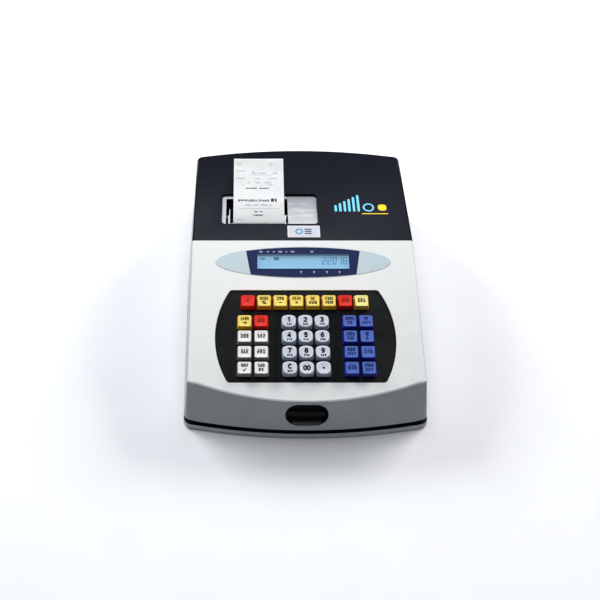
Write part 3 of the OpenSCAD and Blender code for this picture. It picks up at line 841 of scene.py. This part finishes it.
# Figures and signs as lines in a box 3 wide and 5 tall, about its middle
FIGURES = {
    "0": [loop(0, 0, 1.45, 2.3)],
    "1": [[(-1.0, 1.3), (0.35, 2.3), (0.35, -2.5)]],
    "2": [loop(0, 1.0, 1.35, 1.3, -30, 165, 12)[::-1] + [(-1.4, -2.25), (1.6, -2.25)]],
    "3": [loop(0, 1.15, 1.25, 1.15, -90, 155, 14)[::-1], loop(0, -1.1, 1.4, 1.2, -155, 90, 14)],
    "4": [[(0.75, -2.5), (0.75, 2.3), (-1.5, -1.1), (1.7, -1.1)]],
    "5": [[(1.3, 2.3), (-0.95, 2.3), (-1.1, 0.2)] + loop(0, -0.75, 1.4, 1.55, -150, 130, 14)[::-1]],
    "6": [loop(0, -0.9, 1.35, 1.4), [(-1.3, -0.7), (-1.1, 1.0), (-0.2, 2.1), (1.0, 2.3)]],
    "7": [[(-1.5, 2.3), (1.45, 2.3), (-0.4, -2.5)]],
    "8": [loop(0, 1.2, 1.15, 1.1), loop(0, -1.15, 1.4, 1.2)],
    "9": [loop(0, 0.9, 1.35, 1.4), [(1.3, 0.7), (1.1, -1.0), (0.2, -2.1), (-1.0, -2.3)]],
    "C": [loop(0.1, 0, 1.55, 2.3, 42, 318, 16)],
    "•": [loop(0, 0, 0.45, 0.45)],
    "‹": [[(0.9, 1.5), (-0.9, 0), (0.9, -1.5)]],
    "−": [[(-1.2, 0), (1.2, 0)]],
    "×": [[(-0.95, 0.95), (0.95, -0.95)], [(-0.95, -0.95), (0.95, 0.95)]],
    "%": [[(1.2, 1.6), (-1.2, -1.6)], loop(-1.2, 1.0, 0.5, 0.5), loop(1.2, -1.0, 0.5, 0.5)],
    "→": [[(-1.8, 0), (1.7, 0)], [(0.6, 1.1), (1.8, 0), (0.6, -1.1)]],
    "✓": [[(-1.3, 0.1), (-0.3, -1.2), (1.5, 1.4)]],
}


def figure(bm, text, x, y, size, weight, place):
    """Draws figures or a sign with their middle at x, y."""
    step = 3.9 * size
    for i, sign in enumerate(text):
        shift = x + (i - (len(text) - 1) / 2) * step
        for line in FIGURES[sign]:
            ribbon(bm, [(shift + px * size, y + py * size) for px, py in line], weight, place)


# Shares of a word's height: widths of its blocks, and how much they are cut off
BLOCK_WIDTHS = (0.4, 0.55, 0.75)
BLOCK_TRIMS = (0, 0, 0.12, 0.22)
# Spacing of a large word's groups by its height, and the shares of it that are filled
# and that lie before them. Each stroke may be cut off at an end by a share of its width.
GROUP_PITCH = 0.7
GROUP_FILL = 0.84
GROUP_START = 0.08
STROKE_TRIMS = (0, 0, 0.25)


def block_word(bm, cx, cy, width, height, place, rng, gap=0.28):
    """A small word left out: a row of blocks of slightly different heights."""
    x, end = cx - width / 2, cx + width / 2
    while x < end - 0.3:
        w = min(rng.choice(BLOCK_WIDTHS) * height, end - x)
        trim = rng.choice(BLOCK_TRIMS) * height
        low = rng.choice((0, trim))
        stamp_bar(bm, x, cy - height / 2 + low, x + w, cy + height / 2 - (trim - low), place)
        x += w + gap * height * 0.6


def word(bm, cx, cy, width, height, place, rng, stroke=0.28):
    """A large word left out: groups of three level strokes, which are no letters."""
    count = max(1, round(width / (GROUP_PITCH * height)))
    pitch = width / count
    w, t = pitch * GROUP_FILL, stroke * height
    for i in range(count):
        x0 = cx - width / 2 + pitch * (i + GROUP_START)
        for y0 in (cy - height / 2, cy - t / 2, cy + height / 2 - t):
            left, right = (rng.choice(STROKE_TRIMS) * w for _ in range(2))
            stamp_bar(bm, x0 + left, y0, x0 + w - right, y0 + t, place)


# ---- key legends ----

DIGITS = {f"key_digit_{i}": str(i) for i in range(1, 10)}
DIGITS.update(key_clear="C", key_double_zero="00", key_point="•")

# The two lines on each function key: the width of a word, or a sign
LEGENDS = {
    "top": [
        (None, "‹"), (9.0, "%"), (8.0, "−"), (9.2, "×"), (4.2, 8.4),
        (9.0, 8.6), (8.2, None), (8.4, None),
    ],
    "left": [
        (8.8, "→"), (8.0, None), (8.6, None), (8.6, None),
        (8.4, None), (8.8, None), (7.4, "✓"), (7.6, 6.0),
    ],
    "right": [
        (9.6, 5.8), (4.4, 8.8), (9.0, 7.4), (3.6, 3.4),
        (8.0, 9.4), (9.0, None), (9.0, None), (8.8, 8.4),
    ],
}
PRINT_LIFT = 0.06
WORD_H = 3.5
LONE_WORD_H = 4.3


def legend(name, draw, material, cap):
    """A print on a key's top: draw(bm, place) adds its shapes about the top's middle."""
    cx, cy, flat_w, flat_d, top, power = cap
    bm = bmesh.new()

    def place(x, y):
        across, along = abs(x) / (flat_w / 2), abs(y) / (flat_d / 2)
        share = min(1, (across ** power + along ** power) ** (1 / power))
        return cx + x, cy + y, top - DISH * (1 - share ** 2) + PRINT_LIFT

    draw(bm, place)
    piece(name + "_legend", bm, DECK, name, material)


def digit_legend(text, rng):
    """A figure over a small word, or alone in the middle."""
    def draw(bm, place):
        alone = text in ("•", "00")
        figure(bm, text, 0, 0 if alone else 1.6, 0.92, 1.55, place)
        if not alone:
            word(bm, 0.2, -3.5, 5.8, 2.4, place, rng, 0.31)
    return draw


def word_legend(first, second, rng):
    """Two lines, or one line in the middle."""
    def draw(bm, place):
        alone = second is None or first is None
        if first is not None:
            word(bm, 0, 0.5 if alone else 2.6, first, LONE_WORD_H if alone else WORD_H, place, rng)
        if isinstance(second, str):
            figure(bm, second, 0, 0.4 if alone else -2.1, 1.1, 1.0, place)
        elif second is not None:
            word(bm, 0, -2.0, second, WORD_H, place, rng)
    return draw


# ---- display ----

WINDOW_W, WINDOW_H = 99.2, 17.2
# Half lengths of the navy band's lower and upper edges
BAND_LOW, BAND_HIGH = 57, 62
BAND_STEPS = 24
# Middle and width of each small sign over the window, from the window's left edge
SIGNS_OVER = ((4, 3.6), (11.5, 1.8), (17.8, 1.8), (25.2, 4.2), (31.8, 1.8), (38.6, 4.2), (59.6, 3))
ARROWS_UNDER = (47, 61, 74.8, 88.6)
SHOWN = "22016"
SEGMENTS = {"2": "abged", "0": "abcdef", "1": "bc", "6": "acdefg"}


def add_band(cx, cy, half_l, half_h, window, top):
    """The navy band across the bezel, with slanted ends, round the display's window."""
    def edge(x, sign):
        return cy + sign * (half_h - 0.5) * math.sqrt(1 - ((x - cx) / half_l) ** 2)

    steps = [2 * i / BAND_STEPS - 1 for i in range(BAND_STEPS + 1)]
    lower = [(BAND_LOW * t, edge(BAND_LOW * t, -1)) for t in steps]
    upper = [(-BAND_HIGH * t, edge(-BAND_HIGH * t, 1)) for t in steps]
    bm = bmesh.new()
    filled_plate(bm, lower + upper, [window], top - 0.02, top + 0.08)
    navy = moulded("display_navy", tint(24, 36, 76), 0.4, depth=0.003, wear=1.1, shine=0.08)
    piece("display_band", bm, DECK, "case", navy)


def segment_bars(x0):
    """The seven bars of one figure of the display, by their usual letters."""
    y0, w, h, t = -2.7, 3.9, 8.6, 0.75
    x1, y1, middle = x0 + w, y0 + h, y0 + h / 2
    return {
        "a": (x0, y1 - t, x1, y1),
        "b": (x1 - t, middle, x1, y1),
        "c": (x1 - t, y0, x1, middle),
        "d": (x0, y0, x1, y0 + t),
        "e": (x0, y0, x0 + t, middle),
        "f": (x0, middle, x0 + t, y1),
        "g": (x0, middle - t / 2, x1, middle + t / 2),
    }


def build_display():
    low, high = box_in("display_window", DECK)
    face_low, face_high = box_in("lcd_module", DECK)
    cx, cy = (low.x + high.x) / 2, (low.y + high.y) / 2
    half_l, half_h, top = (high.x - low.x) / 2, (high.y - low.y) / 2, high.z
    left, wy = -WINDOW_W / 2, cy + 0.8
    window = rectangle(left, wy - WINDOW_H / 2, -left, wy + WINDOW_H / 2)
    add_band(cx, cy, half_l, half_h, window, top)

    # small white signs over and under the window: blocks and arrows
    def on_band(x, y):
        return left + x, y, top + 0.11

    bm = bmesh.new()
    over = wy + WINDOW_H / 2 + 3.3
    under = wy - WINDOW_H / 2 - 4.6
    rng = random.Random(5)
    for x, width in SIGNS_OVER:
        block_word(bm, x, over, width, 1.9, on_band, rng, 0.2)
    for x in ARROWS_UNDER:
        corners = [(x - 1.1, under + 1.4), (x + 1.1, under + 1.4), (x, under - 1.6)]
        stamp(bm, corners, [(2, 1, 0)], on_band)
    piece("display_signs", bm, DECK, "case", ink("sign_white", tint(164, 172, 194)))

    # the figures shown at the right, and two faint groups at the left
    slant = 0.14

    def on_glass(x, y):
        return left + x + slant * y, wy + y, face_high.z + 0.04

    bm = bmesh.new()
    for i, shown in enumerate(SHOWN):
        bars = segment_bars(70.6 + i * 5.6)
        for key in SEGMENTS[shown]:
            stamp_bar(bm, *bars[key], on_glass)
    block_word(bm, 5.8, 4.4, 5.4, 3.0, on_glass, random.Random(3), 0.5)
    block_word(bm, 20, 4.2, 5.6, 4.2, on_glass, random.Random(8), 0.1)
    piece("display_figures", bm, DECK, "case", ink("segment_blue", tint(62, 104, 156), 0.3))

    face = lcd_face("lcd_face", model_y(face_low), model_y(face_high))
    NODES["lcd_module"].data.materials.clear()
    NODES["lcd_module"].data.materials.append(face)


def model_y(corner):
    """The Y in metres, in the model's frame, of a point given on the deck."""
    return (DECK @ Vector(corner)).y


# ---- prints on the rear cover ----

# Levels between which a print on the bare cover lies, and one on the label
ON_COVER = (-0.02, 0.1)
ON_LABEL = (0.25, 0.32)


def ring_plate(bm, cx, cy, outer, inner, levels):
    filled_plate(bm, ellipse(cx, cy, outer, outer), [ellipse(cx, cy, inner, inner)], *levels)


def on_cover(name, bm, material):
    piece(name, bm, COVER, "rear_cover", material)


def build_label():
    """The white label in front of the window, with a plain sign: a ring and three bars."""
    bm = bmesh.new()
    slab(bm, rounded(-16, 4.8, 19.9, 22, 0.8), -0.02, 0.22)
    white = moulded("label_white", tint(202, 202, 206), 0.4, depth=0.004, wear=1.02)
    on_cover("label_plate", bm, white)
    bm = bmesh.new()
    slab(bm, rounded(-14.6, 6.2, 18.5, 20.6, 0.5), 0.2, 0.26)
    silver = moulded("label_silver", tint(186, 186, 196), 0.4, depth=0.004, wear=1.02)
    on_cover("label_field", bm, silver)
    middle = 13.4
    bm = bmesh.new()
    ring_plate(bm, -3.2, middle, 4.3, 2.7, ON_LABEL)
    on_cover("emblem_ring", bm, ink("emblem_pale", tint(44, 128, 164)))
    bm = bmesh.new()
    for y in (-3, 0, 3):
        slab(bm, rectangle(3, middle + y - 0.8, 10.6, middle + y + 0.8), 0.25, 0.33)
    on_cover("emblem_bars", bm, ink("emblem_deep", tint(6, 66, 104)))


def build_mark():
    """An abstract mark at the right: rising bars, a ring, a rounded tab and a line."""
    bm = bmesh.new()
    for i in range(6):
        x = 38.5 + i * 5.2
        slab(bm, rounded(x, 44, x + 2.7, 54 + 3.2 * i, 1.2), *ON_COVER)
    ring_plate(bm, 77.2, 50.4, 6.4, 4.6, ON_COVER)
    on_cover("mark_bars", bm, ink("mark_blue", tint(110, 196, 224), 0.4))
    bm = bmesh.new()
    slab(bm, rounded(88, 45.4, 97.6, 55, 3.6), *ON_COVER)
    slab(bm, rounded(69, 40, 98.6, 41.2, 0.5), *ON_COVER)
    on_cover("mark_tab", bm, ink("mark_yellow", tint(246, 200, 46), 0.4))


# ---- paper ----

# The receipt bends over the tear bar, at BEND_R about the height BEND_Z, and then lies
# back on an arc of radius CURL_R that leans from the first to the second angle of LEAN.
# It has joined that arc JOIN millimetres after the bend.
BEND_R = 5
BEND_Z = 82
LEAN = (6, 12.6)
CURL_R = 724
JOIN = 26
PAPER = 0.08
# Distance between the paper's middle and the low side of the CAD strip
PAPER_IN = 0.15

# Printed lines from the torn end: weight, distance, height, (middle, width) of each word
RECEIPT_LINES = (
    ("faint", 6.5, 0.9, ((-22, 7), (13.5, 3.5), (19, 3))),
    ("faint", 9.5, 0.9, ((-23, 5), (14, 6))),
    ("faint", 17.3, 0.9, ((-20, 12), (-6.5, 3))),
    ("faint", 20.6, 1.3, ((-5, 6), (4.5, 8.5), (19, 4.5))),
    ("faint", 23.3, 0.5, ((3, 24),)),
    ("faint", 28.1, 1.1, ((-1.5, 6), (-21, 9), (17, 9))),
    ("faint", 34.0, 1.3, ((-11.5, 2.6), (-1, 5), (10.5, 8))),
    ("faint", 37.1, 0.9, ((-18, 3), (13, 7))),
    ("bold", 41.7, 1.8, ((-8.5, 13), (6.5, 11))),
    ("middle", 59.1, 3.0, ((-12.5, 22), (6, 12))),
    ("bold", 58.6, 4.6, ((17, 6.5),)),
    ("faint", 65.4, 1.6, ((-12, 6), (-3.5, 6), (6, 8), (13.5, 3))),
    ("faint", 69.9, 0.5, ((0, 46),)),
    ("bold", 74.1, 1.7, ((-3, 4), (2.5, 3))),
    ("bold", 78.8, 2.0, ((-0.5, 11),)),
    ("faint", 84.0, 0.9, ((-21, 8),)),
)
PRINT_TONES = {"faint": tint(140, 142, 150), "middle": tint(92, 94, 102), "bold": tint(44, 46, 54)}


def paper_sheet(name, bm, rows, body):
    """Joins rows of vertices into a thin sheet of paper."""
    for before, after in zip(rows, rows[1:]):
        for i in range(len(before) - 1):
            bm.faces.new((before[i], before[i + 1], after[i + 1], after[i]))
    made = piece(name, bm, WORLD, body, paper_white)
    solid = made.modifiers.new("thickness", "SOLIDIFY")
    solid.thickness = PAPER * MM
    solid.offset = 0
    return made


def receipt_path(slot_y, low_z):
    """Returns f(s): the (y, z) of the free receipt at s mm from its foot, and its length."""
    lean_0, lean_1 = (math.radians(a) for a in LEAN)
    y1 = slot_y + BEND_R * (1 - math.sin(lean_0))
    z1 = BEND_Z + BEND_R * math.cos(lean_0)

    def lying(a):
        return Vector((
            y1 + CURL_R * (math.sin(a) - math.sin(lean_0)),
            z1 - CURL_R * (math.cos(a) - math.cos(lean_0)),
        ))

    # an even curve from the slot to the arc, and the arc itself
    joint = lean_0 + JOIN / CURL_R
    start, end = Vector((slot_y, BEND_Z + 0.6)), lying(joint)
    leave, arrive = Vector((0, 3)), 34 * Vector((math.cos(joint), math.sin(joint)))
    curve_steps, arc_steps = 40, 60
    points = [Vector((slot_y, low_z))]
    for i in range(curve_steps + 1):
        t = i / curve_steps
        a, b = (1 + 2 * t) * (1 - t) ** 2, t * (1 - t) ** 2
        c, d = t * t * (3 - 2 * t), t * t * (t - 1)
        points.append(a * start + b * leave + c * end + d * arrive)
    for i in range(1, arc_steps + 1):
        points.append(lying(joint + (lean_1 - joint) * i / arc_steps))
    lengths = [0]
    for before, after in zip(points, points[1:]):
        lengths.append(lengths[-1] + (after - before).length)

    def at(s):
        i = min(max(bisect.bisect_right(lengths, s) - 1, 0), len(points) - 2)
        t = (s - lengths[i]) / (lengths[i + 1] - lengths[i])
        point = points[i].lerp(points[i + 1], t)
        return point.x, point.y

    return at, lengths[-1]


def build_receipt():
    low, high = box_in("receipt", WORLD)
    at, length = receipt_path(low.y + PAPER_IN, low.z)
    width, cx = high.x - low.x, (low.x + high.x) / 2

    def surface(x, s, lift=0.0):
        """Point at x across and s along, with the sheet's slight waves, lifted outwards."""
        y, z = at(s)
        y2, z2 = at(min(s + 0.5, length))
        y1, z1 = at(max(s - 0.5, 0))
        size = math.hypot(y2 - y1, z2 - z1)
        free = min(1, max(0, (s - 20) / 40))
        curl = 0.35 * (2 * x / width) ** 2 - 0.4
        out = lift + free * (curl + 0.12 * math.sin(s * 0.21 + x * 0.05))
        return cx + x, y - (z2 - z1) / size * out, z + (y2 - y1) / size * out

    bm = bmesh.new()
    columns, rows = 58, 70
    across = [-width / 2 + width * i / columns for i in range(columns + 1)]
    grid = [[bm.verts.new(surface(x, length * j / rows)) for x in across] for j in range(rows)]
    torn = [length - (0.05 if i % 2 else 0.75) for i in range(columns + 1)]
    grid.append([bm.verts.new(surface(x, s)) for x, s in zip(across, torn)])
    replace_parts(paper_sheet("receipt_sheet", bm, grid, "rear_cover"), "receipt")

    def down(x, d):
        return surface(x, length - d, 0.07)

    rng = random.Random(11)
    prints = {weight: bmesh.new() for weight in PRINT_TONES}
    for weight, d, height, words in RECEIPT_LINES:
        for x, w in words:
            block_word(prints[weight], x, d, w, height, down, rng, 0.35)
    for weight, bm in prints.items():
        tone = ink(f"print_{weight}", PRINT_TONES[weight])
        piece(f"receipt_{weight}_print", bm, WORLD, "rear_cover", tone)


def build_paper_roll():
    """The wound paper and its cardboard core."""
    low, high = box_in("paper_roll", WORLD)
    centre, radius = (low + high) / 2, (high.z - low.z) / 2
    half = (high.x - low.x) / 2
    core_r, bore_r = 6.9, 6.0

    def turned(bm, profile, material_of=lambda i: 0):
        """A closed skin turned about the roll's axis, from (radius, x) points."""
        rings = []
        for r, x in profile + profile[:1]:
            ring = ellipse(centre.y, centre.z, r, r)
            rings.append([(centre.x + x, y, z) for y, z in ring])
        loft(bm, rings, material_of, capped=False)

    bm = bmesh.new()
    turned(bm, [
        (core_r, -half + 0.2), (radius - 0.5, -half), (radius, -half + 0.4),
        (radius, half - 0.4), (radius - 0.5, half), (core_r, half - 0.2),
    ], lambda i: 0 if i == 2 else 1)
    ends = wound_paper("wound_paper", centre * MM)
    roll = piece("paper_roll_winding", bm, WORLD, "paper_roll", [paper_white, ends])
    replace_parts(roll, "paper_roll")
    bm = bmesh.new()
    outer_r = core_r - 0.05
    turned(bm, [(bore_r, -half), (outer_r, -half), (outer_r, half), (bore_r, half)])
    card = moulded("core_card", tint(170, 132, 92), 0.75, grain=0.8, depth=0.05)
    piece("paper_roll_core", bm, WORLD, "paper_roll", card)


def build_paper_web():
    """The web from the front of the roll, under the platen and up to the slot."""
    roll_low, roll_high = box_in("paper_roll", WORLD)
    rubber_low, rubber_high = box_in("platen_roller", WORLD)
    low, high = box_in("receipt", WORLD)
    roll, roll_r = (roll_low + roll_high) / 2, (roll_high.z - roll_low.z) / 2
    platen = (rubber_low + rubber_high) / 2
    slot_y = low.y + PAPER_IN
    wrap_r = platen.y - slot_y
    lap_r = roll_r + 0.15
    gap_y, gap_z = roll.y - platen.y, roll.z - platen.z
    tilt = math.atan2(gap_z, gap_y) + math.asin((lap_r + wrap_r) / math.hypot(gap_y, gap_z))
    reach = math.pi / 2 + tilt
    turns, columns = 12, 12

    def around(a):
        return platen.y - wrap_r * math.cos(a), platen.z - wrap_r * math.sin(a)

    line = [(roll.y + lap_r * math.cos(reach), roll.z + lap_r * math.sin(reach))]
    line += [around(reach * (1 - i / turns)) for i in range(turns + 1)]
    line.append((slot_y, low.z))
    bm = bmesh.new()
    across = [low.x + (high.x - low.x) * i / columns for i in range(columns + 1)]
    rows = [[bm.verts.new((x, y, z)) for x in across] for y, z in line]
    paper_sheet("paper_web", bm, rows, "case")


# ---- rear ----


def build_inlet_pin():
    """The pin in the middle of the power inlet."""
    inlet = next(m for m in frame["record"]["mounts"] if m["name"] == "power_inlet")
    turn = Matrix.Rotation(-math.pi / 2, 4, "X")
    place = Matrix.Translation(Vector(inlet["pos_m"])) @ turn @ WORLD
    bm = bmesh.new()
    profile = ((1, -4.8), (1, 2.8), (0.85, 3.4), (0.4, 3.7))
    loft(bm, [superellipse(2 * r, 2 * r, 2, z, 0, 0, 24) for r, z in profile])
    piece("inlet_pin", bm, place, "case", bright_steel)


add_camera()
add_lights()
add_floor()
paint_cad()
build_keys()
build_deck()
build_cover()
build_case()
build_inner_parts()
build_display()
build_label()
build_mark()
build_receipt()
build_paper_roll()
build_paper_web()
build_inlet_pin()
